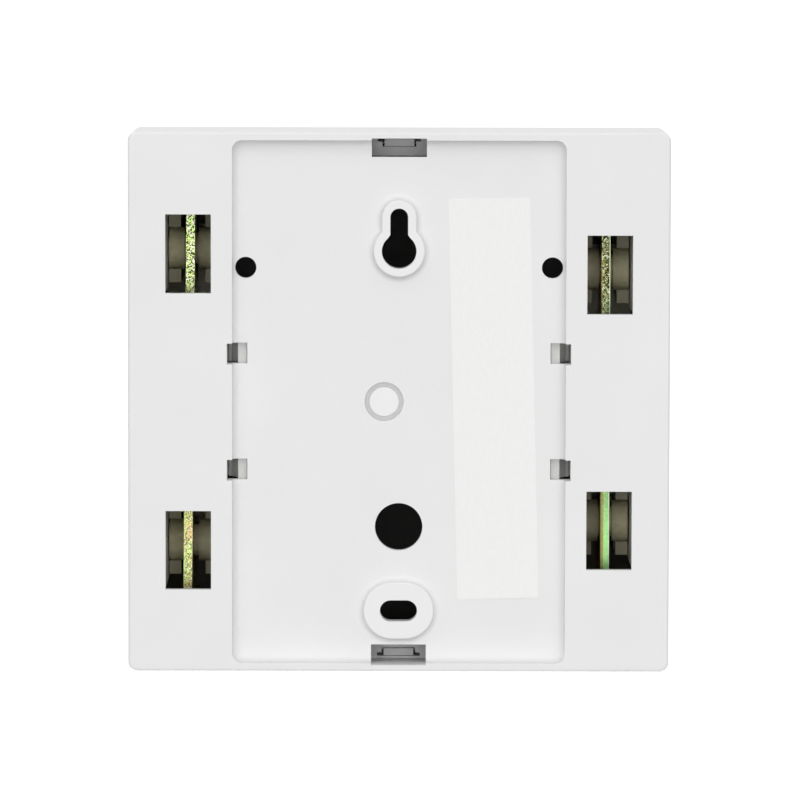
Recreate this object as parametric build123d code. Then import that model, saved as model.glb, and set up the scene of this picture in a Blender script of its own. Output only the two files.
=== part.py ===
from build123d import *

import math
import os

# A square two-tone doorbell chime box for a wall. Sizes are in millimetres.
# The wall is the plane y = 0, +Z is up, and the room is towards -Y.
# A depth is a distance from the wall towards the room. Seen from behind, +X is on the left.

# Case
case_side = 125.0
case_depth = 44.0
case_corner_radius = 2.2
case_inner_corner_radius = 1.0
wall = 2.0
base_depth = 26.0
rear_edge_round = 0.7
overrun = 1.0
edge_tolerance = 0.01

# Recessed panel in the back
recess_from_slots = 4.85
recess_end_rim = 2.0
recess_depth = 3.5
recess_corner_radius = 2.3
recess_floor_round = 1.5

# Keyhole at the top, in a raised boss
keyhole_head_radius = 4.0
keyhole_slot_radius = 2.05
keyhole_end_inset = 17.8
keyhole_length = 7.85
keyhole_shoulder_rise = 3.8
keyhole_shoulder_share = 0.65
keyhole_boss_width = 2.0
boss_rise = 1.8
boss_edge_round = 0.4
boss_foot_round = 1.3

# Fixing slot at the bottom, in a raised boss
fixing_slot_inset = 12.0
fixing_slot_length = 8.6
fixing_slot_height = 4.9
fixing_boss_length = 16.3
fixing_boss_height = 13.3

# Cable hole, side fixing holes and the ring left by the mould
cable_hole_radius = 5.5
cable_hole_above_slot = 19.4
side_hole_radius = 2.45
side_hole_inset = 3.1
side_hole_below_head = 3.85
mould_ring_radius = 4.5
mould_disc_radius = 3.36
mould_ring_depth = 1.3
mould_ring_x = 3.4

# Snap windows and the hooks that hold the mechanism frame
snap_window_width = 4.65
snap_window_height = 4.8
snap_window_past_recess = 1.2
upper_snap_z = 11.2
lower_snap_z = -15.7
snap_hook_gap = 0.25
snap_hook_wall = 1.35
snap_hook_width = 4.4
snap_nose_reach = 1.0
snap_nose_lip = 0.7
snap_nose_length = 2.4
snap_nose_gap = 0.2

# Catch windows, and the ledges that the cover's tongues hook behind
catch_window_width = 12.7
catch_window_height = 4.4
catch_window_past_recess = 0.45
catch_ledge_past_window = 0.8
catch_ledge_overlap = 0.15
catch_ledge_gap = 8.0
catch_ledge_thickness = 1.6
catch_notch_side_gap = 0.45
catch_notch_gap = 0.35
catch_shoulder_width = 10.0
catch_shoulder_height = 0.8

# Sound slots, and the fence behind each one's outer side
slot_width = 10.5
slot_height = 18.2
slot_inset = 13.9
side_fence_gap = 0.15
side_fence_wall = 1.5
side_fence_depth = 30.0

# Tone plates
plate_thickness = 2.0
plate_near_depth = 10.5
plate_corner_radius = 1.5
long_plate_end_gap = 2.5
long_plate_hole_inset = 23.7
short_plate_shorter_by = 14.0
short_plate_hole_inset = 21.4
long_plate_shift = 0.1
short_plate_shift = -0.63
long_plate_lean = 0.5
plate_hole_clearance = 0.05

# Grommets that carry the plates
grommet_radius = 4.9
grommet_past_slot = 0.3
long_grommet_shift = 0.18
short_grommet_shift = 0.3
grommet_groove_radius = 3.7
grommet_groove_gap = 1.3
grommet_edge_round = 0.5

# Mechanism frame
frame_wall = 2.0
frame_plate_gap = 1.0
fork_rim = 3.15
fork_outer_wall = 2.8
fork_inner_wall = 2.4
fork_inner_past_grommet = 0.1
fork_grip = 0.6
fork_clearance = 0.05
bar_past_fork = 1.1
frame_foot_wall = 2.0
frame_foot_length = 8.8
frame_foot_window_gap = 0.15
frame_tab_reach = 2.25
frame_tab_tip = 0.6
frame_tab_start = 2.0
frame_tab_slope = 3.2
frame_tab_thickness = 1.5
frame_tab_width = 4.7
frame_rib_height = 1.2
frame_rib_width = 1.4
frame_rib_inset = 2.0

# Solenoid
core_radius = 4.0
core_clearance = 0.08
bobbin_wall = 1.1
bobbin_flange = 1.2
bobbin_shelf_length = 11.0
bobbin_shelf_drop = 2.5
bobbin_shelf_depth = 2.8
solenoid_clearance = 0.1
tape_thickness = 0.3
coil_fill_share = 0.84
tape_end_gap = 0.2
yoke_steel = 1.5
yoke_length = 34.0
yoke_height = 22.0
yoke_hole_clearance = 0.6

# Plunger
long_strike_travel = 4.0
short_strike_travel = 1.5
strike_gap = 0.3
striker_radius = 3.0
striker_tip_round = 1.6
short_stem_share = 0.3075
striker_cup_radius = 5.0
striker_cup_length = 6.0
striker_cup_round = 0.8
striker_cup_clearance = 0.03
striker_socket_depth = 4.0
striker_yoke_gap = 0.5
spring_length = 12.0
spring_radius = 5.2
spring_wire_radius = 0.3
spring_turns = 7
spring_seat_gap = 0.05
clip_radius = 6.0
clip_thickness = 0.8
clip_groove_depth = 0.5
clip_clearance = 0.05
clip_mouth = 5.0
clip_cup_gap = 1.2

# Terminal block
terminal_past_yoke = 3.0
terminal_foot_gap = 8.9
terminal_block_length = 23.0
terminal_block_height = 14.0
terminal_block_body = 7.5
terminal_block_round = 0.8
terminal_pedestal_height = 3.5
terminal_pedestal_length = 16.0
terminal_pitch = 13.0
terminal_tower_radius = 3.3
terminal_tower_rise = 4.5
terminal_cage_radius = 2.3
terminal_cage_bore = 1.4
terminal_cage_end_inset = 1.0
terminal_cage_from_seat = 4.0
terminal_funnel_radius = 1.7
terminal_screw_radius = 1.2
terminal_screw_clearance = 0.1
terminal_screw_head_radius = 2.0
terminal_screw_head_height = 1.7
terminal_screw_head_sink = 1.0

# Screws
screw_radius = 1.45
screw_clearance = 0.1
screw_head_radius = 2.8
screw_head_height = 1.6
screw_head_round = 0.6
screw_slot_width = 0.8
screw_slot_depth = 0.8
yoke_screw_spacing = 20.0
yoke_screw_past_yoke = 0.8
base_screw_grip = 4.0

# Coil leads
lead_radius = 0.55
lead_spacing = 6.0
lead_end_depth = 4.0
lead_rest_gap = 0.05
lead_route_shares = [(0, 0, 0.26), (0.42, 0.5, 0.5), (0.94, 0.93, 0.69)]
lead_bend_share = 0.45

# Front cover
cover_gap = 0.3
cover_screw_gap = 0.9
cover_inset = 0.4
cover_draft = 2.0
cover_corner_radius = 2.6
cover_edge_round = 2.4
cover_groove_inset = 7.0
cover_groove_width = 1.2
cover_groove_depth = 0.6
cover_lip_gap = 0.3
cover_lip_wall = 1.4
cover_lip_rear_depth = 3.5
cover_lip_front_depth = 3.0
tongue_width = 6.9
tongue_thickness = 1.45
tongue_wall_gap = 0.2
tongue_past_ledge = 0.4
tongue_nose = 0.2
tongue_nose_length = 0.35

# Paper label, left blank
label_height = 92.8
label_rim_gap = 7.2
label_boss_gap = 4.35
label_thickness = 0.15
label_corner_radius = 0.5
label_z = 0.6
label_turn = 1.4

# Places worked out from the sizes above
case_half = case_side / 2
inner_half = case_half - wall
slot_x = case_half - slot_inset
recess_half_width = slot_x - slot_width / 2 - recess_from_slots
recess_half_height = case_half - recess_end_rim
floor_depth = recess_depth + wall
boss_depth = recess_depth - boss_rise
keyhole_end_z = recess_half_height - keyhole_end_inset
keyhole_head_z = keyhole_end_z - keyhole_length
fixing_slot_z = fixing_slot_inset - recess_half_height
cable_hole_z = fixing_slot_z + cable_hole_above_slot
side_hole_x = recess_half_width - side_hole_inset
side_hole_z = keyhole_head_z - side_hole_below_head
snap_window_outer = recess_half_width + snap_window_past_recess
snap_window_x = snap_window_outer - snap_window_width / 2
catch_window_outer = recess_half_height + catch_window_past_recess
catch_window_inner = catch_window_outer - catch_window_height
ledge_depth = floor_depth + catch_ledge_gap
frame_front = case_depth - wall - cover_screw_gap - screw_head_height
bar_depth = frame_front - frame_wall
plate_width = bar_depth - frame_plate_gap - plate_near_depth
axis_depth = plate_near_depth + plate_width / 2
long_plate_length = 2 * (inner_half - long_plate_end_gap)
short_plate_length = long_plate_length - short_plate_shorter_by
long_hole_z = long_plate_length / 2 - long_plate_hole_inset
short_hole_z = short_plate_length / 2 - short_plate_hole_inset
long_plate_x = slot_x + long_plate_shift
short_plate_x = -slot_x - short_plate_shift
grommet_length = slot_width + grommet_past_slot
grommet_groove_width = plate_thickness + grommet_groove_gap
long_grommet_x = slot_x - long_grommet_shift
short_grommet_x = short_grommet_shift - slot_x
fork_half_height = grommet_radius + fork_rim
foot_inner = snap_window_outer - snap_window_width + frame_foot_window_gap
foot_outer = foot_inner + frame_foot_wall
tab_outer = foot_outer + frame_tab_reach
tab_front = floor_depth + frame_tab_start + frame_tab_slope + frame_tab_thickness
hook_inner = snap_window_outer + snap_hook_gap
hook_outer = hook_inner + snap_hook_wall
yoke_half = yoke_length / 2
yoke_reach = bar_depth - yoke_steel - axis_depth
bobbin_half = yoke_half - yoke_steel - solenoid_clearance
bobbin_tube_radius = core_radius + core_clearance + bobbin_wall
winding_radius = coil_fill_share * yoke_reach - tape_thickness
long_tip_x = long_plate_x - plate_thickness / 2 - long_strike_travel - strike_gap
short_tip_x = short_plate_x + plate_thickness / 2 + short_strike_travel + strike_gap
clip_room = clip_cup_gap + clip_thickness
cup_yoke_gap = short_strike_travel + striker_yoke_gap
solenoid_room = yoke_length + spring_length + clip_room + cup_yoke_gap
stem_room = long_tip_x - short_tip_x - solenoid_room - 2 * striker_cup_length
short_cup_x = short_tip_x + short_stem_share * stem_room + striker_cup_length
clip_x = short_cup_x + clip_room
solenoid_x = clip_x + spring_length + yoke_half
long_cup_x = solenoid_x + yoke_half + cup_yoke_gap
terminal_block_x = solenoid_x + yoke_half + terminal_past_yoke
terminal_top_z = lower_snap_z - frame_foot_length / 2 - terminal_foot_gap
terminal_z = terminal_top_z - terminal_block_height / 2
terminal_seat = floor_depth + terminal_pedestal_height
terminal_face = terminal_seat + terminal_block_body
cage_depth = terminal_seat + terminal_cage_from_seat
pole_xs = [terminal_block_x - terminal_pitch / 2, terminal_block_x + terminal_pitch / 2]
cover_rear = base_depth + cover_gap
cover_side = case_side - 2 * cover_inset
lip_half = inner_half - cover_lip_gap
tongue_outer = inner_half - tongue_wall_gap
tongue_inner = tongue_outer - tongue_thickness
tongue_end = ledge_depth - tongue_past_ledge
slot_boss_half = fixing_boss_length / 2
label_width = recess_half_width - label_rim_gap - slot_boss_half - label_boss_gap
label_x = -slot_boss_half - label_boss_gap - label_width / 2


def at_depth(depth):
    """A drawing plane parallel to the wall, with X to the right and Z up."""
    return Plane(origin=(0, -depth, 0), x_dir=(1, 0, 0), z_dir=(0, -1, 0))


def slab(outline, near, far):
    """An outline drawn in X and Z, made solid between two depths."""
    return extrude(at_depth(near) * outline, amount=far - near)


def block(x_span, depth_span, z_span):
    """A box between two X values, two depths and two heights."""
    spans = (x_span, depth_span, z_span)
    middle_x, middle_depth, middle_z = [sum(span) / 2 for span in spans]
    return Pos(middle_x, -middle_depth, middle_z) * Box(*[abs(b - a) for a, b in spans])


def rod(radius, x_span, z=0):
    """A round bar along X, at the depth of the solenoid's axis."""
    length = abs(x_span[1] - x_span[0])
    return Pos(sum(x_span) / 2, -axis_depth, z) * Rot(0, 90, 0) * Cylinder(radius, length)


def pin(radius, depth_span, x, z):
    """A round bar that points from the wall to the room."""
    length = abs(depth_span[1] - depth_span[0])
    return Pos(x, -sum(depth_span) / 2, z) * Rot(90, 0, 0) * Cylinder(radius, length)


def upright(radius, z_span, x, depth):
    """A vertical round bar."""
    return Pos(x, -depth, sum(z_span) / 2) * Cylinder(radius, abs(z_span[1] - z_span[0]))


def profile(points, z_span):
    """A profile in X and depth, made solid between two heights."""
    plane = Plane(origin=(0, 0, sum(z_span) / 2), x_dir=(1, 0, 0), z_dir=(0, 0, -1))
    half = abs(z_span[1] - z_span[0]) / 2
    return extrude(plane * make_face(Polyline(*points, close=True)), amount=half, both=True)


def around(middle, size):
    """The two ends of a length that is centred on a place."""
    return (middle - size / 2, middle + size / 2)


def rear_edges(solid):
    return solid.faces().sort_by(Axis.Y)[-1].edges()


def front_edges(solid):
    return solid.faces().sort_by(Axis.Y)[0].edges()


def head_and_slot(grow):
    """A round head with a narrower slot above it, grown all round."""
    half_width = keyhole_slot_radius + grow
    shank = Pos(0, keyhole_length / 2) * Rectangle(2 * half_width, keyhole_length)
    end = Pos(0, keyhole_length) * Circle(half_width)
    return Pos(0, keyhole_head_z) * (Circle(keyhole_head_radius + grow) + shank + end)


def keyhole_outline():
    """The keyhole: its head runs into its slot over two short sloping shoulders."""
    shoulder_x = keyhole_shoulder_share * keyhole_head_radius
    shoulder_x = min(max(shoulder_x, keyhole_slot_radius), keyhole_head_radius)
    shoulder_z = math.sqrt(keyhole_head_radius**2 - shoulder_x**2)
    neck = make_face(
        Polyline(
            (-shoulder_x, shoulder_z),
            (-keyhole_slot_radius, keyhole_shoulder_rise),
            (keyhole_slot_radius, keyhole_shoulder_rise),
            (shoulder_x, shoulder_z),
            close=True,
        )
    )
    return head_and_slot(0) + Pos(0, keyhole_head_z) * neck


def sound_slots():
    """The centres of the four sound slots."""
    for x, z in ((slot_x, long_hole_z), (-slot_x, short_hole_z)):
        yield x, z
        yield x, -z


def grommet_places():
    """The centres of the four grommets, a little nearer the middle than the slots."""
    for x, z in ((long_grommet_x, long_hole_z), (short_grommet_x, short_hole_z)):
        yield x, z
        yield x, -z


def snap_places():
    """The side and the height of each of the four snap windows."""
    for side in (1, -1):
        for z in (upper_snap_z, lower_snap_z):
            yield side, z


def tray():
    """The open tray: a flat back with its four walls and the recessed panel."""
    square = RectangleRounded(case_side, case_side, case_corner_radius)
    outer = slab(square, 0, base_depth)
    outer = fillet(rear_edges(outer), rear_edge_round)
    inner_side = 2 * inner_half
    inner_square = RectangleRounded(inner_side, inner_side, case_inner_corner_radius)
    cavity = slab(inner_square, wall, base_depth + overrun)
    backing_half = recess_half_width + wall
    cavity -= block((-backing_half, backing_half), (0, floor_depth), (-inner_half, inner_half))
    panel_size = (2 * recess_half_width, 2 * recess_half_height)
    panel = RectangleRounded(*panel_size, recess_corner_radius)
    recess = slab(panel, -overrun, recess_depth)
    recess = fillet(front_edges(recess), recess_floor_round)
    return outer - cavity - recess


def rear_bosses():
    """The raised rims of the keyhole and of the lower fixing slot."""
    keyhole_boss = slab(head_and_slot(keyhole_boss_width), boss_depth, floor_depth)
    slot_boss = slab(
        Pos(0, fixing_slot_z) * SlotOverall(fixing_boss_length, fixing_boss_height),
        boss_depth,
        floor_depth,
    )
    return [fillet(rear_edges(boss), boss_edge_round) for boss in (keyhole_boss, slot_boss)]


def boss_foot_edges(base):
    """The edges where the two fixing bosses stand on the recessed panel."""
    found = []
    for edge in base.edges():
        box = edge.bounding_box()
        on_panel = max(abs(box.min.Y + recess_depth), abs(box.max.Y + recess_depth)) < edge_tolerance
        if on_panel and max(abs(box.min.X), abs(box.max.X)) < fixing_boss_length:
            found.append(edge)
    return found


def rear_holes():
    """Every opening in the back but the sound slots."""
    through = (-overrun, floor_depth + overrun)
    cuts = [
        slab(keyhole_outline(), *through),
        slab(Pos(0, fixing_slot_z) * SlotOverall(fixing_slot_length, fixing_slot_height), *through),
        pin(cable_hole_radius, through, 0, cable_hole_z),
    ]
    for side in (1, -1):
        cuts.append(pin(side_hole_radius, through, side * side_hole_x, side_hole_z))
        window_z = (side * catch_window_inner, side * catch_window_outer)
        window_depths = (-overrun, ledge_depth)
        cuts.append(block(around(0, catch_window_width), window_depths, window_z))
    for side, z in snap_places():
        window_x = around(side * snap_window_x, snap_window_width)
        cuts.append(block(window_x, through, around(z, snap_window_height)))
    ring = Circle(mould_ring_radius) - Circle(mould_disc_radius)
    cuts.append(slab(Pos(mould_ring_x, 0) * ring, 0, recess_depth + mould_ring_depth))
    return cuts


def snap_hook(side, z):
    """A hook beside a snap window, whose nose holds the tab on the mechanism frame's foot."""
    nose_start = tab_front + snap_nose_gap
    nose_x = tab_outer - snap_nose_reach
    points = [
        (hook_outer, wall),
        (hook_inner, wall),
        (hook_inner, nose_start),
        (nose_x, nose_start),
        (nose_x, nose_start + snap_nose_lip),
        (hook_inner, nose_start + snap_nose_length),
        (hook_outer, nose_start + snap_nose_length),
    ]
    return profile([(side * x, depth) for x, depth in points], around(z, snap_hook_width))


def catch_ledge(side):
    """The ledge behind a catch window, notched for the cover's tongue."""
    half = catch_window_width / 2 + catch_ledge_past_window
    depths = (ledge_depth, ledge_depth + catch_ledge_thickness)
    cut_depths = (ledge_depth - overrun, ledge_depth + catch_ledge_thickness + overrun)
    ledge_inner = catch_window_inner - catch_ledge_overlap
    ledge = block((-half, half), depths, (side * ledge_inner, side * (inner_half + wall / 2)))
    notch_half = tongue_width / 2 + catch_notch_side_gap
    notch_z = (side * (tongue_inner - catch_notch_gap), side * inner_half)
    ledge -= block((-notch_half, notch_half), cut_depths, notch_z)
    shoulder_z = (side * (inner_half - catch_shoulder_height), side * inner_half)
    return ledge - block(around(0, catch_shoulder_width), cut_depths, shoulder_z)


def side_fence(x, z):
    """The fence behind the outer side of a sound slot, as tall as the slot."""
    side = 1 if x > 0 else -1
    near_x = x + side * (slot_width / 2 + side_fence_gap)
    fence_x = (near_x, near_x + side * side_fence_wall)
    return block(fence_x, (wall / 2, side_fence_depth), around(z, slot_height))


def rear_base():
    """The wall side of the case."""
    base = tray()
    for boss in rear_bosses():
        base += boss
    base = fillet(boss_foot_edges(base), boss_foot_round)
    for x, z in sound_slots():
        base += side_fence(x, z)
    for side, z in snap_places():
        base += snap_hook(side, z)
    for side in (1, -1):
        base += catch_ledge(side)
    pedestal_z = around(terminal_z, terminal_block_height)
    pedestal_x = around(terminal_block_x, terminal_pedestal_length)
    base += block(pedestal_x, (recess_depth + wall / 2, terminal_seat), pedestal_z)
    for cut in rear_holes():
        base -= cut
    for x, z in sound_slots():
        slot_depths = (-overrun, wall + overrun)
        base -= block(around(x, slot_width), slot_depths, around(z, slot_height))
    screw_end = terminal_seat - base_screw_grip
    base -= pin(screw_radius, (screw_end, terminal_seat + overrun), terminal_block_x, terminal_z)
    return base


def tone_plate(length, hole_z):
    """A flat steel bar that stands on edge, with its two support holes, centred on X = 0."""
    edge_on = RectangleRounded(plate_width, length, plate_corner_radius)
    hole = Circle(grommet_groove_radius + plate_hole_clearance)
    outline = edge_on - Pos(0, hole_z) * hole - Pos(0, -hole_z) * hole
    plane = Plane(origin=(0, -axis_depth, 0), x_dir=(0, 1, 0), z_dir=(1, 0, 0))
    return extrude(plane * outline, amount=plate_thickness / 2, both=True)


def grommet(x, z):
    """A soft sleeve with a groove that holds the plate's hole."""
    body = rod(grommet_radius, around(x, grommet_length), z)
    body = fillet(body.edges().filter_by(GeomType.CIRCLE), grommet_edge_round)
    groove_x = around(x, grommet_groove_width)
    ring = rod(grommet_radius + overrun, groove_x, z) - rod(grommet_groove_radius, groove_x, z)
    return body - ring


def fork_ends(x):
    """How far a grommet's two forked walls lie from the middle of the case, inside and outside."""
    return (abs(x) - grommet_length / 2 - fork_inner_past_grommet, abs(x) + grommet_length / 2)


def fork_pair(x, z):
    """Two forked walls, open towards the wall side, that hold the ends of one grommet."""
    side = 1 if x > 0 else -1
    inner, outer = fork_ends(x)
    depths = (axis_depth - fork_grip, frame_front)
    heights = around(z, 2 * fork_half_height)
    pair = block((side * (outer - fork_outer_wall), side * outer), depths, heights)
    pair += block((side * inner, side * (inner + fork_inner_wall)), depths, heights)
    reach = grommet_length / 2 + overrun
    return pair - rod(grommet_radius + fork_clearance, (x - reach, x + reach), z)


def frame_foot(side, z):
    """A foot that stands on the back beside a snap window, with the tab that the hook holds."""
    heights = around(z, frame_foot_length)
    foot = block((side * foot_inner, side * foot_outer), (floor_depth, frame_front), heights)
    tab_start = floor_depth + frame_tab_start
    points = [
        (foot_inner, tab_start),
        (foot_outer, tab_start),
        (tab_outer - frame_tab_tip, tab_start + frame_tab_slope),
        (tab_outer, tab_start + frame_tab_slope),
        (tab_outer, tab_front),
        (foot_inner, tab_front),
    ]
    return foot + profile([(side * x, depth) for x, depth in points], around(z, frame_tab_width))


def mechanism_frame():
    """The H-shaped frame that carries the tone plates and the solenoid."""
    bridge_z = (lower_snap_z - frame_foot_length / 2, upper_snap_z + frame_foot_length / 2)
    long_inner, long_outer = fork_ends(long_grommet_x)
    short_inner, short_outer = fork_ends(short_grommet_x)
    frame = block((-short_outer, long_outer), (bar_depth, frame_front), bridge_z)
    long_bar_x = (long_inner, long_outer + bar_past_fork)
    short_bar_x = (-short_inner, -short_outer - bar_past_fork)
    for bar_x, hole_z in ((long_bar_x, long_hole_z), (short_bar_x, short_hole_z)):
        bar_half = hole_z + grommet_radius
        frame += block(bar_x, (bar_depth, frame_front), (-bar_half, bar_half))
    for rib_z in (bridge_z[0] + frame_rib_inset, bridge_z[1] - frame_rib_inset):
        rib_depths = (frame_front, frame_front + frame_rib_height)
        frame += block((-short_inner, long_inner), rib_depths, around(rib_z, frame_rib_width))
    for x, z in grommet_places():
        frame += fork_pair(x, z)
    for side, z in snap_places():
        frame += frame_foot(side, z)
    for x in around(solenoid_x, yoke_screw_spacing):
        hole_depths = (bar_depth - overrun, frame_front + overrun)
        frame -= pin(screw_radius + screw_clearance, hole_depths, x, 0)
    return frame


def solenoid_bobbin():
    """The coil former: a tube with two square flanges and a shelf for the lead wires."""
    flange_reach = yoke_reach - solenoid_clearance
    depths = (axis_depth - flange_reach, axis_depth + flange_reach)
    heights = around(0, yoke_height)
    whole = around(solenoid_x, 2 * bobbin_half)
    bobbin = rod(bobbin_tube_radius, whole)
    for x in around(solenoid_x, 2 * bobbin_half - bobbin_flange):
        bobbin += block(around(x, bobbin_flange), depths, heights)
    shelf_z = (-yoke_height / 2 - bobbin_shelf_drop, -yoke_height / 2 + bobbin_shelf_drop / 2)
    shelf_x = (whole[1] - bobbin_shelf_depth, whole[1])
    shelf = block(shelf_x, around(axis_depth, bobbin_shelf_length), shelf_z)
    coil_x = (whole[0], whole[1] - bobbin_flange)
    bobbin += shelf - rod(winding_radius + tape_thickness, coil_x)
    return bobbin - rod(core_radius + core_clearance, around(solenoid_x, yoke_length))


def coil_sleeve(inner_radius, outer_radius, end_gap):
    """A ring wound round the bobbin's tube, between its flanges."""
    length = 2 * (bobbin_half - bobbin_flange - end_gap)
    hollow = rod(inner_radius, around(solenoid_x, length + 2 * overrun))
    return rod(outer_radius, around(solenoid_x, length)) - hollow


def solenoid_yoke():
    """The U-shaped steel bracket, screwed to the bridge of the mechanism frame."""
    heights = around(0, yoke_height)
    legs_start = axis_depth - yoke_reach
    yoke = block(around(solenoid_x, yoke_length), (legs_start, bar_depth), heights)
    inside = around(solenoid_x, yoke_length - 2 * yoke_steel)
    room = (-yoke_height / 2 - overrun, yoke_height / 2 + overrun)
    yoke -= block(inside, (legs_start - overrun, bar_depth - yoke_steel), room)
    core_hole = around(solenoid_x, yoke_length + 2 * overrun)
    yoke -= rod(core_radius + yoke_hole_clearance, core_hole)
    for x in around(solenoid_x, yoke_screw_spacing):
        yoke -= pin(screw_radius, (bar_depth - yoke_steel - overrun, bar_depth + overrun), x, 0)
    return yoke


def yoke_plate():
    """The flat steel plate that closes the yoke on the wall side."""
    closing = axis_depth - yoke_reach
    width = around(solenoid_x, yoke_length)
    return block(width, (closing - yoke_steel, closing), around(0, yoke_height))


def plunger_core():
    """The steel rod that the coil pulls, with a groove for the spring's clip."""
    core_start = short_cup_x - striker_socket_depth
    core = rod(core_radius, (core_start, long_cup_x + striker_socket_depth))
    groove_x = (clip_x - clip_thickness - clip_clearance, clip_x + clip_clearance)
    groove = rod(core_radius + overrun, groove_x)
    return core - (groove - rod(core_radius - clip_groove_depth, groove_x))


def striker(cup_x, tip_x):
    """A nylon striker: a cup pressed over the rod's end, and a stem with a domed tip."""
    side = 1 if tip_x > cup_x else -1
    cup_end = cup_x + side * striker_cup_length
    cup = rod(striker_cup_radius, (cup_x, cup_end))
    cup = fillet(cup.edges().filter_by(GeomType.CIRCLE), striker_cup_round)
    stem = rod(striker_radius, (cup_end - side * striker_cup_round, tip_x))
    outer_rim = stem.edges().filter_by(GeomType.CIRCLE).sort_by(Axis.X)[-1 if side > 0 else 0]
    stem = fillet(outer_rim, striker_tip_round)
    socket_x = (cup_x - side * overrun, cup_x + side * striker_socket_depth)
    return cup + stem - rod(core_radius + striker_cup_clearance, socket_x)


def spring_clip():
    """The open steel ring in the rod's groove that the spring pushes on."""
    span = (clip_x - clip_thickness, clip_x)
    bore = core_radius - clip_groove_depth + clip_clearance
    clip = rod(clip_radius, span) - rod(bore, around(sum(span) / 2, clip_thickness + 2 * overrun))
    mouth_x = (clip_x - clip_thickness - overrun, clip_x + overrun)
    mouth_depths = (axis_depth, axis_depth + clip_radius + overrun)
    return clip - block(mouth_x, mouth_depths, around(0, clip_mouth))


def spring_point(turn):
    """A point on the return spring's centre line, and its direction there, after some turns."""
    seat = spring_wire_radius + spring_seat_gap
    pitch = (spring_length - 2 * seat) / spring_turns
    angle = 2 * math.pi * turn
    point = Vector(
        solenoid_x - yoke_half - seat - pitch * turn,
        -axis_depth + spring_radius * math.cos(angle),
        spring_radius * math.sin(angle),
    )
    rise = -pitch / (2 * math.pi)
    heading = Vector(rise, -spring_radius * math.sin(angle), spring_radius * math.cos(angle))
    return point, heading.normalized()


def biarc(start, heading, end, end_heading):
    """Two arcs that meet smoothly, from one point and direction to another."""
    chord = end - start
    both = heading + end_heading
    along = chord.dot(both)
    spread = 2 * (1 - heading.dot(end_heading))
    reach = (math.sqrt(along**2 + spread * chord.dot(chord)) - along) / spread
    first = start + heading * reach
    second = end - end_heading * reach
    middle = (first + second) / 2
    return [
        TangentArc(start, middle, tangent=heading),
        TangentArc(middle, end, tangent=second - first),
    ]


def return_spring():
    """The coil spring round the rod, one unbroken wire."""
    quarters = [spring_point(quarter / 4) for quarter in range(4 * spring_turns + 1)]
    arcs = []
    for (start, heading), (end, end_heading) in zip(quarters, quarters[1:]):
        arcs += biarc(start, heading, end, end_heading)
    path = Wire(arcs)
    print("return_spring least gap", round(spring_least_gap(), 3))
    return sweep(Plane(origin=path @ 0, z_dir=path % 0) * Circle(spring_wire_radius), path=path)


def spring_least_gap():
    """The least free space between the spring's turns, measured on points half a turn apart or more."""
    steps = 24
    points = [spring_point(step / steps)[0] for step in range(steps * spring_turns + 1)]
    nearest = min(
        (points[i] - points[j]).length
        for i in range(len(points))
        for j in range(i + steps // 2, len(points))
    )
    return nearest - 2 * spring_wire_radius


def terminal_block():
    """The two-pole block on its pedestal, with a tower round each clamping screw."""
    width = around(terminal_block_x, terminal_block_length)
    heights = around(terminal_z, terminal_block_height)
    body = block(width, (terminal_seat, terminal_face), heights)
    body = fillet(body.edges().filter_by(Axis.Y), terminal_block_round)
    tower_end = terminal_face + terminal_tower_rise
    for x in pole_xs:
        body += pin(terminal_tower_radius, (cage_depth, tower_end), x, terminal_z)
    for x in pole_xs:
        body -= upright(terminal_cage_radius, around(terminal_z, cage_length()), x, cage_depth)
        funnel = around(terminal_z, terminal_block_height + 2 * overrun)
        body -= upright(terminal_funnel_radius, funnel, x, cage_depth)
        well = terminal_screw_head_radius + terminal_screw_clearance
        body -= pin(well, (cage_depth, tower_end + overrun), x, terminal_z)
    screw_hole = screw_radius + screw_clearance
    through = (terminal_seat - overrun, terminal_face + overrun)
    return body - pin(screw_hole, through, terminal_block_x, terminal_z)


def cage_length():
    return terminal_block_height - 2 * terminal_cage_end_inset


def terminal_cage(x):
    """A brass barrel that a wire is clamped in."""
    cage = upright(terminal_cage_radius, around(terminal_z, cage_length()), x, cage_depth)
    cage -= upright(terminal_cage_bore, around(terminal_z, cage_length() + 2 * overrun), x, cage_depth)
    thread = (cage_depth, cage_depth + terminal_cage_radius + overrun)
    return cage - pin(terminal_screw_radius, thread, x, terminal_z)


def slotted_head(radius, height, depth, x, z):
    """A screw head that stands on a face at the given depth, with a straight driver slot."""
    head = pin(radius, (depth, depth + height), x, z)
    head = fillet(front_edges(head), min(screw_head_round, height / 2))
    slot_depths = (depth + height - screw_slot_depth, depth + height + overrun)
    return head - block(around(x, 2 * (radius + overrun)), slot_depths, around(z, screw_slot_width))


def terminal_screw(x):
    """A clamping screw, turned down on to the wire."""
    head_top = terminal_face + terminal_tower_rise - terminal_screw_head_sink
    head_seat = head_top - terminal_screw_head_height
    tip = wire_depth() + lead_radius + lead_rest_gap
    shank = pin(terminal_screw_radius, (tip, head_seat), x, terminal_z)
    return shank + slotted_head(
        terminal_screw_head_radius, terminal_screw_head_height, head_seat, x, terminal_z
    )


def screw(tip_depth, head_depth, x, z):
    """A pan head screw between the depth of its tip and the face under its head."""
    shank = pin(screw_radius, (tip_depth, head_depth), x, z)
    return shank + slotted_head(screw_head_radius, screw_head_height, head_depth, x, z)


def yoke_screws():
    """The two screws that hold the yoke to the frame's bridge."""
    tip = bar_depth - yoke_steel - yoke_screw_past_yoke
    xs = around(solenoid_x, yoke_screw_spacing)
    return Compound(children=[screw(tip, frame_front, x, 0) for x in xs])


def wire_depth():
    """The depth of a lead's centre line where it lies on the back of its cage."""
    return cage_depth - terminal_cage_bore + lead_radius + lead_rest_gap


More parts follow.
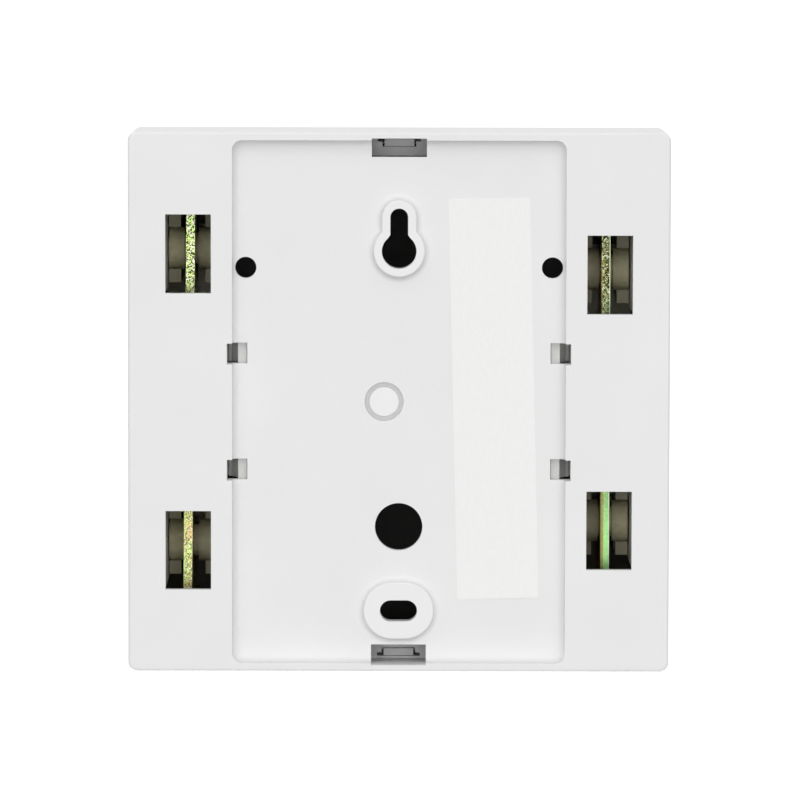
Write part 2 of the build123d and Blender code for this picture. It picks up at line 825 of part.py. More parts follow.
def coil_lead(name, start_depth, pole_x):
    """An insulated lead from the bobbin's shelf down into its terminal."""
    start_x = solenoid_x + bobbin_half - bobbin_shelf_depth / 2
    start_z = -yoke_height / 2 - bobbin_shelf_drop
    end_z = terminal_top_z - lead_end_depth
    spans = (pole_x - start_x, wire_depth() - start_depth, end_z - start_z)
    points = [Vector(start_x, -start_depth, start_z)]
    for shares in lead_route_shares + [(1, 1, 1)]:
        across, deeper, down = [share * span for share, span in zip(shares, spans)]
        points.append(Vector(start_x + across, -start_depth - deeper, start_z + down))
    runs = [b - a for a, b in zip(points, points[1:])]
    radii = []
    for before, after in zip(runs, runs[1:]):
        half_turn = math.radians(before.get_angle(after)) / 2
        radii.append(lead_bend_share * min(before.length, after.length) / math.tan(half_turn))
    path = FilletPolyline(*points, radius=radii)
    tube = sweep(Plane(origin=path @ 0, z_dir=path % 0) * Circle(lead_radius), path=path)
    section = math.pi * lead_radius**2
    print(name, "length", round(path.length, 1), "radii", [round(radius, 1) for radius in radii])
    print(name, "volume share", round(tube.volume / (section * path.length), 4))
    return tube


def tongue(side):
    """A hook tongue of the cover, with its nose past the catch ledge."""
    front = cover_rear + cover_lip_front_depth
    whole = block(
        around(0, tongue_width), (tongue_end, front), (side * tongue_inner, side * tongue_outer)
    )
    nose_z = (side * (tongue_inner - tongue_nose), side * tongue_outer)
    nose_depths = (tongue_end, tongue_end + tongue_nose_length)
    return whole + block(around(0, tongue_width), nose_depths, nose_z)


def front_cover():
    """The room side of the case: a shell with a locating lip and two hook tongues."""
    height = case_depth - cover_rear
    square = RectangleRounded(cover_side, cover_side, cover_corner_radius)
    shell = extrude(at_depth(cover_rear) * square, amount=height, taper=cover_draft)
    shell = fillet(front_edges(shell), cover_edge_round)
    room_side = cover_side - 2 * wall
    room = RectangleRounded(room_side, room_side, case_inner_corner_radius)
    shell -= extrude(at_depth(cover_rear) * room, amount=height - wall, taper=cover_draft)
    lip = RectangleRounded(2 * lip_half, 2 * lip_half, case_inner_corner_radius)
    lip_inner_side = 2 * (lip_half - cover_lip_wall)
    lip -= RectangleRounded(lip_inner_side, lip_inner_side, case_inner_corner_radius)
    shell += slab(lip, base_depth - cover_lip_rear_depth, cover_rear + cover_lip_front_depth)
    groove_side = cover_side - 2 * cover_groove_inset
    inside_side = groove_side - 2 * cover_groove_width
    groove = RectangleRounded(groove_side, groove_side, cover_corner_radius + cover_groove_width)
    groove -= RectangleRounded(inside_side, inside_side, cover_corner_radius)
    shell -= slab(groove, case_depth - cover_groove_depth, case_depth + overrun)
    return shell + tongue(1) + tongue(-1)


def blank_label():
    """The paper label stuck to the recessed panel, a little askew."""
    paper = RectangleRounded(label_width, label_height, label_corner_radius)
    placed = Pos(label_x, label_z) * Rot(0, 0, -label_turn) * paper
    return slab(placed, recess_depth - label_thickness, recess_depth)


nodes = {
    "rear_base": rear_base(),
    "mechanism_frame": mechanism_frame(),
    "long_tone_plate": Pos(long_plate_x, 0, 0)
    * Rot(0, -long_plate_lean, 0)
    * tone_plate(long_plate_length, long_hole_z),
    "short_tone_plate": Pos(short_plate_x, 0, 0) * tone_plate(short_plate_length, short_hole_z),
    "long_plate_upper_grommet": grommet(long_grommet_x, long_hole_z),
    "long_plate_lower_grommet": grommet(long_grommet_x, -long_hole_z),
    "short_plate_upper_grommet": grommet(short_grommet_x, short_hole_z),
    "short_plate_lower_grommet": grommet(short_grommet_x, -short_hole_z),
    "solenoid_bobbin": solenoid_bobbin(),
    "copper_winding": coil_sleeve(bobbin_tube_radius, winding_radius, 0),
    "coil_tape": coil_sleeve(winding_radius, winding_radius + tape_thickness, tape_end_gap),
    "solenoid_yoke": solenoid_yoke(),
    "yoke_plate": yoke_plate(),
    "yoke_screws": yoke_screws(),
    "plunger_core": plunger_core(),
    "long_plate_striker": striker(long_cup_x, long_tip_x),
    "short_plate_striker": striker(short_cup_x, short_tip_x),
    "spring_clip": spring_clip(),
    "return_spring": return_spring(),
    "terminal_block": terminal_block(),
    "terminal_block_screw": screw(
        terminal_seat - base_screw_grip, terminal_face, terminal_block_x, terminal_z
    ),
    "front_cover": front_cover(),
    "blank_label": blank_label(),
}
lead_depths = around(axis_depth, lead_spacing)
for pole, pole_x, lead_depth in zip(("first", "second"), pole_xs, lead_depths):
    nodes[f"{pole}_terminal_cage"] = terminal_cage(pole_x)
    nodes[f"{pole}_terminal_screw"] = terminal_screw(pole_x)
    nodes[f"{pole}_coil_lead"] = coil_lead(f"{pole}_coil_lead", lead_depth, pole_x)

os.makedirs("parts", exist_ok=True)
for name, solid in nodes.items():
    export_step(solid, f"parts/{name}.step")
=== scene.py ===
import math

import bmesh
import bpy
from mathutils import Matrix, Vector


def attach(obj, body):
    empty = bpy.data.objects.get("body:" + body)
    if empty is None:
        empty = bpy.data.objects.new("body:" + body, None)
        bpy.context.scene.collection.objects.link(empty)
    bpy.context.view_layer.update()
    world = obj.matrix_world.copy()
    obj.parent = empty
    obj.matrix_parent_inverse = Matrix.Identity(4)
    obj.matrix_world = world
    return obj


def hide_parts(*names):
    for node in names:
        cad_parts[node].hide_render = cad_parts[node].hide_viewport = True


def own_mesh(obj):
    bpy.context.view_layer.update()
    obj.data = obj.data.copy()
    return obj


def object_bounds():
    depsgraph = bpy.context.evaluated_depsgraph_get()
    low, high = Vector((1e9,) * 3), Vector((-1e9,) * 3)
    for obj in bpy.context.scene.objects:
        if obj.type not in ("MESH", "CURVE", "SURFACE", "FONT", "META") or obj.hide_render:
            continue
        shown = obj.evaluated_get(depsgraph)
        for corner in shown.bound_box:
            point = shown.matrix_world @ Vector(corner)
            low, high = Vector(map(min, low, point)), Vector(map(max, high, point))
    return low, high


# A square two-tone doorbell chime box, seen from behind.
# Lengths are in metres, or in millimetres where a name says mm. Angles are in degrees.
# The wall is the plane y = 0, +Z is up, and the room is towards -Y.

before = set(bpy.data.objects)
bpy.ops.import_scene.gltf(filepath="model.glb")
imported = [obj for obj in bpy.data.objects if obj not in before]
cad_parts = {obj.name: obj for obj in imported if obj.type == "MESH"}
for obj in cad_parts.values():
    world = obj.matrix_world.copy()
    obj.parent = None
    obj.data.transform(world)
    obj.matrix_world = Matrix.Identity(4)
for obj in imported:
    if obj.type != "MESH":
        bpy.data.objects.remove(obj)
cad_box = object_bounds()

METRES_PER_MM = 0.001
MM_PER_METRE = 1000.0

# Camera, where the photograph was taken from
CAMERA_ELEVATION = 4.9
CAMERA_ROLL = 0.119
CAMERA_DISTANCE_MM = 1400.0
CAMERA_AIM_MM = (-0.26, 0.0, 0.66)
CAMERA_SENSOR_MM = 36.0
CAMERA_LENS_MM = 273.2
CAMERA_CLIP_END = 100.0

# Floor, and the lit strip in it under the box
FLOOR_RADIUS = 14.0
FLOOR_SEGMENTS = 96
FLOOR_COLOUR = "#646464"
FLOOR_GLOW = 0.95
CARD_HALF = 0.064
CARD_REAR = -0.0001
CARD_FRONT = -0.006
CARD_BELOW = 0.0006
CARD_GLOW = 1.1
GLOW_COLOUR = "#FFFFFF"

# Light tent. The turn is a span of a unit direction's Y, and the horizon a span of its Z
TENT_LOW = 0.12
TENT_HIGH = 0.78
TENT_BACK = 1.0
TENT_TURN = (-0.25, 0.0)
TENT_HORIZON = (-0.06, -0.02)
WINDOW_LEVEL = 1.32
WINDOW_ELEVATION = 10.0
WINDOW_FULL = 25.0
WINDOW_FADE = 50.0

# Places on the object that the finishes, and the painted sheen, light and shade, follow
# The tops of the fixing bosses, painted lighter as painted sheen
BOSS_TOP_DEPTH_MM = 1.7
BOSS_TOP_LAYER_MM = 0.12
BOSS_REACH_MM = 10.5
CASE_REACH_MM = 62.6
# The cover's inner faces that are painted dark as painted shade, and where that shade turns lighter
PAINTED_SHADE_REACH_MM = 60.6
PAINTED_SHADE_DEPTHS_MM = (30.0, 42.6)
PAINTED_SHADE_EASES_MM = (38.0, 44.0)
# The ejector's disc, painted lighter as painted sheen, and the groove round it, painted greyer as painted
# shade
RING_X_MM = 3.4
RING_RADII_MM = (3.36, 4.5)
PLATE_ENDS_MM = (-30.0, 30.0)
LONG_PLATE_SIDES_MM = (49.6, 47.8)
SHEARED_EDGE_MM = (-47.77, -47.47)
BURNISHED_LINE_MM = (-48.75, -48.83)
# Where the frame is painted lighter towards the sides, as painted light, and darker on the forks, as painted
# shade
OUTER_PARTS_FROM_MM = (41.0, 42.0)
FORK_PAINTED_SHADE_DEPTHS_MM = (35.0, 33.0)

# Grain of the finishes. Each noise is used over the middle part of its range
NOISE_SPAN = (0.35, 0.65)
WIDE_NOISE_SPAN = (0.3, 0.7)
STRONGER_SHARE = 0.6
CRYSTAL_MM = 0.23
CRYSTAL_DEPTH_MM = 0.05
DRAWN_WIRE_RADIUS_MM = 0.3

# Kinds of crystal on the tone plates: the random channel that picks each,
# the span of that channel where it fades in, and its full share. The bright and dark kinds are painted glints
# and painted dark reflections of the crystals' facets
CRYSTAL_KINDS = (
    ("bright", 0, (0.62, 0.66), 0.95),
    ("tinted", 1, (0.76, 0.84), 0.7),
    ("dark", 2, (0.62, 0.68), 0.95),
)

# How far the lower film's colour leans from one side of the long plate to the other
SIDE_LEAN = 0.25

# Colours of the tone plates: the film's at the upper end, its two at the lower end, and the crystals',
# whose bright and dark ones are painted glints and painted dark reflections
LONG_PLATE_COLOURS = {
    "upper": "#D8FF90",
    "lower": ("#CCEC74", "#F2CC84"),
    "bright": "#FBFCEC",
    "tinted": "#E3B0A0",
    "dark": "#10140A",
}
SHORT_PLATE_COLOURS = {
    "upper": "#4A4C1C",
    "lower": ("#ACEC98", "#ACEC98"),
    "bright": "#D8E0B8",
    "tinted": "#B8A070",
    "dark": "#0C0C04",
    "sheared_edge": "#A09858",
    "burnished_line": "#D8E4C0",
}


def linear(code):
    """An sRGB colour, written as a hex code, as linear RGBA."""
    channels = [int(code[start : start + 2], 16) / 255 for start in (1, 3, 5)]
    turned = [c / 12.92 if c <= 0.04045 else ((c + 0.055) / 1.055) ** 2.4 for c in channels]
    return (*turned, 1.0)


def add(tree, kind, inputs, **settings):
    """Adds a node. Settings are its own properties, and an input takes a value or another node's output."""
    node = tree.nodes.new(kind)
    for name, value in settings.items():
        setattr(node, name, value)
    for name, value in inputs.items():
        if isinstance(value, bpy.types.NodeSocket):
            tree.links.new(value, node.inputs[name])
        else:
            node.inputs[name].default_value = value
    return node


def combined(tree, operation, first, second):
    """A value worked out from two others."""
    return add(tree, "ShaderNodeMath", {0: first, 1: second}, operation=operation).outputs[0]


def ranged(tree, value, low, high, new_low=0.0, new_high=1.0):
    """A value from low to high, moved to another range and held inside it."""
    spans = {"Value": value, 1: low, 2: high, 3: new_low, 4: new_high}
    return add(tree, "ShaderNodeMapRange", spans).outputs[0]


def mixed(tree, share, first, second):
    """A colour between two colours."""
    colours = {0: share, 6: first, 7: second}
    return add(tree, "ShaderNodeMix", colours, data_type="RGBA").outputs[2]


def component(tree, vector, axis):
    """The X, Y or Z of a vector."""
    return add(tree, "ShaderNodeSeparateXYZ", {0: vector}).outputs[axis]


def aside(tree, point):
    """How far each point lies from the middle of the case, to either side."""
    return combined(tree, "ABSOLUTE", component(tree, point, "X"), 0.0)


def within(tree, point, lows_mm, highs_mm):
    """1 for the points inside a box, 0 for the others."""
    share = 1.0
    for axis, low, high in zip("XYZ", lows_mm, highs_mm):
        span = {0: component(tree, point, axis), 1: (low + high) / 2, 2: (high - low) / 2}
        inside = add(tree, "ShaderNodeMath", span, operation="COMPARE").outputs[0]
        share = combined(tree, "MULTIPLY", inside, share)
    return share


def noise(tree, point, size_mm, stretch=(1, 1, 1), detail=2.0, distortion=0.0):
    """A noise from 0 to 1 whose blotches are about size_mm across, longer where stretch is more than 1."""
    shrink = [1 / times for times in stretch]
    drawn = add(tree, "ShaderNodeVectorMath", {0: point, 1: shrink}, operation="MULTIPLY").outputs[0]
    values = {"Vector": drawn, "Scale": 1 / size_mm, "Detail": detail, "Distortion": distortion}
    return add(tree, "ShaderNodeTexNoise", values).outputs["Fac"]


def added(tree, stronger, weaker):
    """Two noises added up, each by its share."""
    most = combined(tree, "MULTIPLY", stronger, STRONGER_SHARE)
    values = {0: weaker, 1: 1 - STRONGER_SHARE, 2: most}
    return add(tree, "ShaderNodeMath", values, operation="MULTIPLY_ADD").outputs[0]


def shaded(name, roughness, metallic=0.0, ior=1.5):
    """A new material and its shader."""
    material = bpy.data.materials.new(name)
    material.use_nodes = True
    shader = material.node_tree.nodes["Principled BSDF"]
    shader.inputs["Roughness"].default_value = roughness
    shader.inputs["Metallic"].default_value = metallic
    shader.inputs["IOR"].default_value = ior
    return material, shader


def surface(name, **looks):
    """A new material, its nodes and shader, and the place of each point of the object, in millimetres."""
    material, shader = shaded(name, **looks)
    tree = material.node_tree
    place = add(tree, "ShaderNodeTexCoord", {}).outputs["Object"]
    point = add(tree, "ShaderNodeVectorMath", {0: place, "Scale": MM_PER_METRE}, operation="SCALE")
    return material, tree, shader, point.outputs[0]


def coloured(tree, shader, colour):
    """Gives the surface its colour."""
    tree.links.new(colour, shader.inputs["Base Color"])


def sunk(tree, shader, height, depth_mm):
    """Gives the surface a relief whose full height is depth_mm."""
    relief = {"Height": height, "Distance": depth_mm * METRES_PER_MM}
    tree.links.new(add(tree, "ShaderNodeBump", relief).outputs[0], shader.inputs["Normal"])


def moulded(name, light, dark, roughness, grain_mm, grain_depth_mm):
    """Plastic from a spark-eroded mould: matte, with a fine even grain and a faint drift of tone."""
    material, tree, shader, point = surface(name, roughness=roughness, ior=1.54)
    drift = noise(tree, point, size_mm=22.0)
    grain = noise(tree, point, size_mm=grain_mm, detail=3.0)
    share = ranged(tree, added(tree, drift, grain), *WIDE_NOISE_SPAN)
    tone = mixed(tree, share, linear(dark), linear(light))
    coloured(tree, shader, tone)
    sunk(tree, shader, grain, depth_mm=grain_depth_mm)
    return material, tree, shader, point, tone


def case_abs(name):
    """White ABS, moulded: the case."""
    return moulded(name, "#EBEBEB", "#E6E6E6", roughness=0.52, grain_mm=0.34, grain_depth_mm=0.012)


def base_abs():
    """White ABS, moulded. The tops of the two fixing bosses and the disc left by the ejector are painted
    lighter, as painted sheen. The groove round the disc is painted greyer, as painted shade in the groove."""
    material, tree, shader, point, tone = case_abs("white_abs_moulded")
    lows = (-BOSS_REACH_MM, -BOSS_TOP_DEPTH_MM - BOSS_TOP_LAYER_MM, -CASE_REACH_MM)
    highs = (BOSS_REACH_MM, -BOSS_TOP_DEPTH_MM + BOSS_TOP_LAYER_MM, CASE_REACH_MM)
    # Painted sheen: the tops of the two fixing bosses are painted lighter
    tone = mixed(tree, within(tree, point, lows, highs), tone, linear("#ECECEC"))
    flat = add(tree, "ShaderNodeVectorMath", {0: point, 1: (1, 0, 1)}, operation="MULTIPLY").outputs[0]
    from_middle = add(tree, "ShaderNodeVectorMath", {0: flat, 1: (RING_X_MM, 0, 0)}, operation="DISTANCE")
    reach = from_middle.outputs["Value"]
    disc, ring = [combined(tree, "LESS_THAN", reach, radius) for radius in RING_RADII_MM]
    # Painted shade in the groove round the ejector's disc, then painted sheen on the disc
    tone = mixed(tree, ring, tone, linear("#DDDDDD"))
    coloured(tree, shader, mixed(tree, disc, tone, linear("#EEEEEE")))
    return material


def cover_abs():
    """White ABS, moulded. Its inner faces, which lie towards the room, are painted near black as painted
    shade, the shade inside the closed case; it is lighter and browner towards the two sides, where the sound
    slots are."""
    material, tree, shader, point, tone = case_abs("white_abs_painted_shade_inside")
    lows = (-PAINTED_SHADE_REACH_MM, -PAINTED_SHADE_DEPTHS_MM[1], -PAINTED_SHADE_REACH_MM)
    highs = (PAINTED_SHADE_REACH_MM, -PAINTED_SHADE_DEPTHS_MM[0], PAINTED_SHADE_REACH_MM)
    # Painted shade: the inner faces of the cover are painted near black, lighter and browner towards the
    # sound slots
    painted_shade = within(tree, point, lows, highs)
    shade_lightens = ranged(tree, aside(tree, point), *PAINTED_SHADE_EASES_MM)
    painted_shade_tone = mixed(tree, shade_lightens, linear("#2B2B2A"), linear("#6E6654"))
    coloured(tree, shader, mixed(tree, painted_shade, tone, painted_shade_tone))
    return material


def frame_abs():
    """Natural white ABS, moulded: the frame that carries the mechanism, a little greyer than the case.
    Towards the two sides its bars are painted lighter and creamier, as painted light, and the forked walls
    that hold the grommets are painted a dull darker tone, as painted shade."""
    material, tree, shader, point, tone = moulded(
        "natural_abs_moulded", "#DCDCDA", "#D6D6D3", roughness=0.5, grain_mm=0.4, grain_depth_mm=0.015
    )
    # Painted light on the bars towards the sides, and painted shade on the forked walls, nearer the wall than
    # the bars
    outer_parts = ranged(tree, aside(tree, point), *OUTER_PARTS_FROM_MM)
    far, near = FORK_PAINTED_SHADE_DEPTHS_MM
    nearer_than_bars = ranged(tree, component(tree, point, "Y"), -far, -near)
    fork_painted_shade = combined(tree, "MULTIPLY", outer_parts, nearer_than_bars)
    tone = mixed(tree, outer_parts, tone, linear("#ECE5DA"))
    coloured(tree, shader, mixed(tree, fork_painted_shade, tone, linear("#B8B198")))
    return material


def passivated_film(tree, point, colours, wander):
    """The passivation's colours: one at the plate's upper end, two side by side at its lower end. They change
    into each other along the plate, in bands that wander up and down."""
    bands = noise(tree, point, size_mm=9.0, stretch=(1, 1, 1.6), detail=1.0)
    bands = ranged(tree, bands, *NOISE_SPAN, -wander, wander)
    rise = ranged(tree, component(tree, point, "Z"), *PLATE_ENDS_MM)
    rise = combined(tree, "ADD", bands, rise)
    patches = noise(tree, point, size_mm=3.2, stretch=(1, 1, 2), detail=1.0)
    patches = ranged(tree, patches, *NOISE_SPAN)
    side = ranged(tree, component(tree, point, "X"), *LONG_PLATE_SIDES_MM, -SIDE_LEAN, SIDE_LEAN)
    first, second = [linear(colour) for colour in colours["lower"]]
    lower_share = ranged(tree, combined(tree, "ADD", patches, side), 0.0, 1.0)
    lower = mixed(tree, lower_share, first, second)
    return mixed(tree, ranged(tree, rise, 0.0, 1.0), lower, linear(colours["upper"]))


def passivated_steel(name, colours, wander, lower_share):
    """Steel strip with a coarse zinc plate, yellow passivated: bright, tinted and dark crystals over a layer
    of changing colour. The crystals are the zinc's spangle; their near white and near black tones are painted
    glints and painted dark reflections. The crystals fade to lower_share at the plate's lower end. One plate
    shows its sheared edge on one side and a burnished line on the other."""
    material, tree, shader, point = surface(name, roughness=0.34, metallic=1.0)
    cells = {"Vector": point, "Scale": 1 / CRYSTAL_MM, "Randomness": 1.0}
    crystals = add(tree, "ShaderNodeTexVoronoi", cells).outputs["Color"]
    picks = add(tree, "ShaderNodeSeparateColor", {0: crystals}).outputs
    across = component(tree, point, "X")
    tone = passivated_film(tree, point, colours, wander)
    if "sheared_edge" in colours:
        beside = ranged(tree, across, *SHEARED_EDGE_MM)
        tone = mixed(tree, beside, tone, linear(colours["sheared_edge"]))
    coarse = ranged(tree, component(tree, point, "Z"), *PLATE_ENDS_MM, lower_share, 1.0)
    # The bright and dark crystals are painted glints and painted dark reflections; the tinted ones are the
    # passivation's colour
    for kind, channel, edges, full_share in CRYSTAL_KINDS:
        share = ranged(tree, picks[channel], *edges, 0.0, full_share)
        share = combined(tree, "MULTIPLY", share, coarse)
        tone = mixed(tree, share, tone, linear(colours[kind]))
    if "burnished_line" in colours:
        line = ranged(tree, across, *BURNISHED_LINE_MM)
        tone = mixed(tree, line, tone, linear(colours["burnished_line"]))
    coloured(tree, shader, tone)
    sunk(tree, shader, picks[0], depth_mm=CRYSTAL_DEPTH_MM)
    return material


def grommet_rubber():
    """Cream rubber, moulded: dull, with a powdery bloom."""
    material, tree, shader, point = surface("cream_rubber_moulded", roughness=0.72, ior=1.52)
    bloom = noise(tree, point, size_mm=1.6, detail=4.0)
    share = ranged(tree, bloom, *NOISE_SPAN)
    coloured(tree, shader, mixed(tree, share, linear("#C2BA98"), linear("#CFC8A9")))
    sunk(tree, shader, bloom, depth_mm=0.03)
    return material


def label_paper():
    """Smooth white paper, coated and self-adhesive: even, with a low sheen and a hint of fibre."""
    material, tree, shader, point = surface("white_paper_coated", roughness=0.42)
    fibre = noise(tree, point, size_mm=0.5, stretch=(1, 1, 2.5), detail=3.0)
    share = ranged(tree, fibre, *WIDE_NOISE_SPAN)
    coloured(tree, shader, mixed(tree, share, linear("#EFEFEE"), linear("#F2F2F1")))
    sunk(tree, shader, fibre, depth_mm=0.006)
    return material


def nylon():
    """Natural nylon, moulded: ivory, a little translucent and waxy."""
    material, tree, shader, point = surface("natural_nylon_moulded", roughness=0.38, ior=1.53)
    cloud = noise(tree, point, size_mm=3.0)
    share = ranged(tree, cloud, *NOISE_SPAN)
    coloured(tree, shader, mixed(tree, share, linear("#DDD6C0"), linear("#E8E2CE")))
    shader.inputs["Subsurface Weight"].default_value = 0.2
    shader.inputs["Subsurface Scale"].default_value = METRES_PER_MM
    sunk(tree, shader, cloud, depth_mm=0.01)
    return material


def copper_wire():
    """Enamelled copper wire, wound in even turns: red-brown metal under clear varnish.
    The real wire is about 0.1 mm. Its turns are drawn wider, so that they show."""
    material, tree, shader, point = surface("enamelled_copper_wound", roughness=0.28, metallic=1.0)
    along = component(tree, point, "X")
    turn = combined(tree, "PINGPONG", along, DRAWN_WIRE_RADIUS_MM)
    turn = ranged(tree, turn, 0.0, DRAWN_WIRE_RADIUS_MM)
    # Each turn is painted darker towards the grooves between turns, as painted shade
    coloured(tree, shader, mixed(tree, turn, linear("#6E2F17"), linear("#C06A3C")))
    shader.inputs["Coat Weight"].default_value = 0.6
    sunk(tree, shader, turn, depth_mm=0.08)
    return material


def coil_tape():
    """Yellow polyester tape, wound tight: glossy film with small wrinkles that run round the coil."""
    material, tree, shader, point = surface("polyester_tape_wound", roughness=0.22, ior=1.57)
    wrinkle = noise(tree, point, size_mm=0.9, stretch=(1, 5, 5), detail=3.0, distortion=0.6)
    share = ranged(tree, wrinkle, *NOISE_SPAN)
    coloured(tree, shader, mixed(tree, share, linear("#C98F12"), linear("#E0AC24")))
    sunk(tree, shader, wrinkle, depth_mm=0.08)
    return material


def zinc_steel(name, light, dark, roughness, line_mm, run):
    """Zinc plated steel: cool grey metal, with fine lines along the way it was rolled, turned or drawn."""
    material, tree, shader, point = surface(name, roughness=roughness, metallic=1.0)
    lines = noise(tree, point, size_mm=line_mm, stretch=run, detail=3.0)
    cloud = noise(tree, point, size_mm=5.0)
    share = ranged(tree, added(tree, lines, cloud), *NOISE_SPAN)
    coloured(tree, shader, mixed(tree, share, linear(dark), linear(light)))
    sunk(tree, shader, lines, depth_mm=0.01)
    return material


def terminal_polyamide():
    """White polyamide, moulded: smooth, a little warmer and glossier than the case."""
    looks = {"roughness": 0.36, "grain_mm": 0.8, "grain_depth_mm": 0.008}
    return moulded("white_polyamide_moulded", "#E9E8E0", "#E2E1D8", **looks)[0]


def terminal_brass():
    """Brass, turned: warm yellow metal with fine rings."""
    material, tree, shader, point = surface("brass_turned", roughness=0.3, metallic=1.0)
    rings = noise(tree, point, size_mm=0.25, stretch=(8, 8, 1))
    share = ranged(tree, rings, *NOISE_SPAN)
    coloured(tree, shader, mixed(tree, share, linear("#B98F45"), linear("#D6B264")))
    sunk(tree, shader, rings, depth_mm=0.015)
    return material


def lead_pvc(name, light, dark):
    """PVC insulation, extruded over fine wire: smooth with a soft shine."""
    material, tree, shader, point = surface(name, roughness=0.4, ior=1.53)
    cloud = noise(tree, point, size_mm=1.4, stretch=(1, 1, 4))
    share = ranged(tree, cloud, *NOISE_SPAN)
    coloured(tree, shader, mixed(tree, share, linear(dark), linear(light)))
    sunk(tree, shader, cloud, depth_mm=0.015)
    return material


def dress_nodes():
    """Gives every CAD piece its finish."""
    rubber = grommet_rubber()
    natural_nylon = nylon()
    pressed = {"roughness": 0.36, "line_mm": 0.3, "run": (6, 1, 1)}
    turned = {"roughness": 0.3, "line_mm": 0.15, "run": (1, 6, 6)}
    drawn = {"roughness": 0.26, "line_mm": 0.2, "run": (1, 3, 3)}
    headed = {"roughness": 0.3, "line_mm": 0.2, "run": (3, 1, 1)}
    sheet_steel = zinc_steel("zinc_steel_pressed", "#C4C6C8", "#A9ABAD", **pressed)
    turned_steel = zinc_steel("mild_steel_turned", "#A3A5A8", "#85878B", **turned)
    spring_wire = zinc_steel("spring_wire_drawn", "#8C8E92", "#717377", **drawn)
    screw_steel = zinc_steel("zinc_steel_headed", "#C9CBCD", "#AEB0B2", **headed)
    brass = terminal_brass()
    finishes = {
        "rear_base": base_abs(),
        "front_cover": cover_abs(),
        "mechanism_frame": frame_abs(),
        "long_tone_plate": passivated_steel(
            "passivated_steel_long", LONG_PLATE_COLOURS, wander=0.35, lower_share=0.68
        ),
        "short_tone_plate": passivated_steel(
            "passivated_steel_short", SHORT_PLATE_COLOURS, wander=0.15, lower_share=0.12
        ),
        "long_plate_upper_grommet": rubber,
        "long_plate_lower_grommet": rubber,
        "short_plate_upper_grommet": rubber,
        "short_plate_lower_grommet": rubber,
        "solenoid_bobbin": natural_nylon,
        "copper_winding": copper_wire(),
        "coil_tape": coil_tape(),
        "solenoid_yoke": sheet_steel,
        "yoke_plate": sheet_steel,
        "yoke_screws": screw_steel,
        "plunger_core": turned_steel,
        "long_plate_striker": natural_nylon,
        "short_plate_striker": natural_nylon,
        "spring_clip": spring_wire,
        "return_spring": spring_wire,
        "terminal_block": terminal_polyamide(),
        "terminal_block_screw": screw_steel,
        "first_terminal_cage": brass,
        "second_terminal_cage": brass,
        "first_terminal_screw": screw_steel,
        "second_terminal_screw": screw_steel,
        "first_coil_lead": lead_pvc("red_pvc_extruded", "#B3261E", "#9C1D17"),
        "second_coil_lead": lead_pvc("black_pvc_extruded", "#2A2A2B", "#1E1E1F"),
        "blank_label": label_paper(),
    }
    for name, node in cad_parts.items():
        node.data.materials.clear()
        node.data.materials.append(finishes[name])


def coil_spring():
    """The return spring as its own mesh, carried by the base."""
    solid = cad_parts["return_spring"]
    spring = bpy.data.objects.new("return_spring_coil", solid.data.copy())
    spring.matrix_world = solid.matrix_world
    bpy.context.scene.collection.objects.link(spring)
    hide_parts("return_spring")
    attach(spring, "base")
    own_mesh(spring)


def photo_camera():
    """The camera behind the box and a little above its middle, with the photograph's small roll."""
    tilt = math.radians(CAMERA_ELEVATION)
    roll = math.radians(CAMERA_ROLL)
    back = Vector((0, math.cos(tilt), math.sin(tilt)))
    right = Vector((-1, 0, 0))
    up = back.cross(right)
    turned_right = math.cos(roll) * right + math.sin(roll) * up
    turned_up = math.cos(roll) * up - math.sin(roll) * right
    axes = Matrix((turned_right, turned_up, back)).transposed().to_4x4()
    place = (Vector(CAMERA_AIM_MM) + CAMERA_DISTANCE_MM * back) * METRES_PER_MM
    camera = bpy.data.objects.new("photo_camera", bpy.data.cameras.new("photo_camera"))
    camera.data.sensor_width = CAMERA_SENSOR_MM
    camera.data.lens = CAMERA_LENS_MM
    camera.data.clip_end = CAMERA_CLIP_END
    camera.matrix_world = Matrix.Translation(place) @ axes
    bpy.context.scene.collection.objects.link(camera)
    bpy.context.scene.camera = camera


def lit_acrylic(name, glow):
    """White acrylic sheet, lit from below: even and matt. Gives its shader too."""
    material, shader = shaded(name, roughness=0.6)
    shader.inputs["Emission Color"].default_value = linear(GLOW_COLOUR)
    shader.inputs["Emission Strength"].default_value = glow
    return material, shader


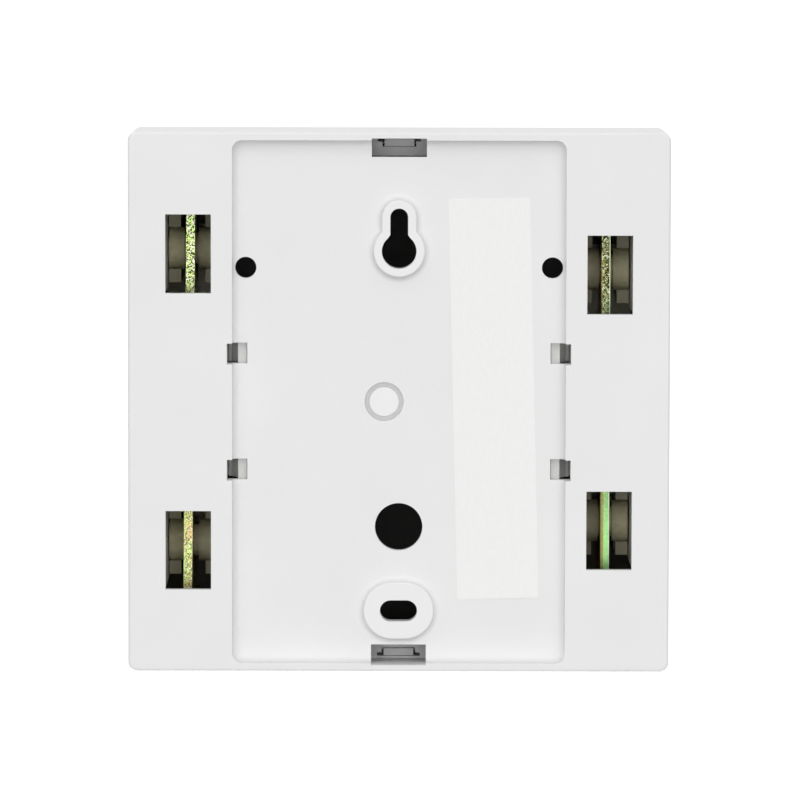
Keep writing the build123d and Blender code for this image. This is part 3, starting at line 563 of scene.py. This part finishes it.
def pale_floor():
    """A pale floor, softly lit from below, that the box stands on."""
    mesh = bpy.data.meshes.new("floor")
    shape = bmesh.new()
    bmesh.ops.create_circle(shape, cap_ends=True, radius=FLOOR_RADIUS, segments=FLOOR_SEGMENTS)
    shape.to_mesh(mesh)
    shape.free()
    floor = bpy.data.objects.new("floor", mesh)
    floor.location.z = cad_box[0].z
    floor.visible_diffuse = False
    bpy.context.scene.collection.objects.link(floor)
    material, shader = lit_acrylic("white_acrylic_sheet", FLOOR_GLOW)
    shader.inputs["Base Color"].default_value = linear(FLOOR_COLOUR)
    mesh.materials.append(material)


def pale_card():
    """A lit strip in the floor, under the box, that lights the rounding of its lower rear edge."""
    mesh = bpy.data.meshes.new("card")
    half, rear, front = CARD_HALF, CARD_REAR, CARD_FRONT
    level = cad_box[0].z - CARD_BELOW
    corners = [(-half, front, level), (half, front, level), (half, rear, level), (-half, rear, level)]
    mesh.from_pydata(corners, [], [(0, 1, 2, 3)])
    card = bpy.data.objects.new("card", mesh)
    card.visible_camera = False
    bpy.context.scene.collection.objects.link(card)
    mesh.materials.append(lit_acrylic("lit_white_acrylic", CARD_GLOW)[0])


def light_tent():
    """A light tent round the box, brighter towards its top, with a pale back and a soft window."""
    world = bpy.data.worlds.new("light_tent")
    world.use_nodes = True
    tree = world.node_tree
    direction = add(tree, "ShaderNodeTexCoord", {}).outputs["Generated"]
    depth = component(tree, direction, "Y")
    height = component(tree, direction, "Z")
    cloth = ranged(tree, height, -1.0, 1.0, TENT_LOW, TENT_HIGH)
    rise = math.radians(WINDOW_ELEVATION)
    middle = (0, math.cos(rise), math.sin(rise))
    to_middle = add(tree, "ShaderNodeVectorMath", {0: direction, 1: middle}, operation="DOT_PRODUCT")
    edges = [math.cos(math.radians(angle)) for angle in (WINDOW_FADE, WINDOW_FULL)]
    window = ranged(tree, to_middle.outputs["Value"], *edges, 0.0, WINDOW_LEVEL)
    above = ranged(tree, height, *TENT_HORIZON)
    behind = ranged(tree, depth, *TENT_TURN, TENT_BACK, 0.0)
    front = combined(tree, "ADD", cloth, window)
    back = combined(tree, "MULTIPLY", above, behind)
    level = combined(tree, "MAXIMUM", front, back)
    tree.links.new(level, tree.nodes["Background"].inputs["Strength"])
    tree.nodes["Background"].inputs["Color"].default_value = (1, 1, 1, 1)
    bpy.context.scene.world = world


dress_nodes()
coil_spring()
photo_camera()
pale_floor()
pale_card()
light_tent()
bpy.context.scene.view_settings.view_transform = "Standard"
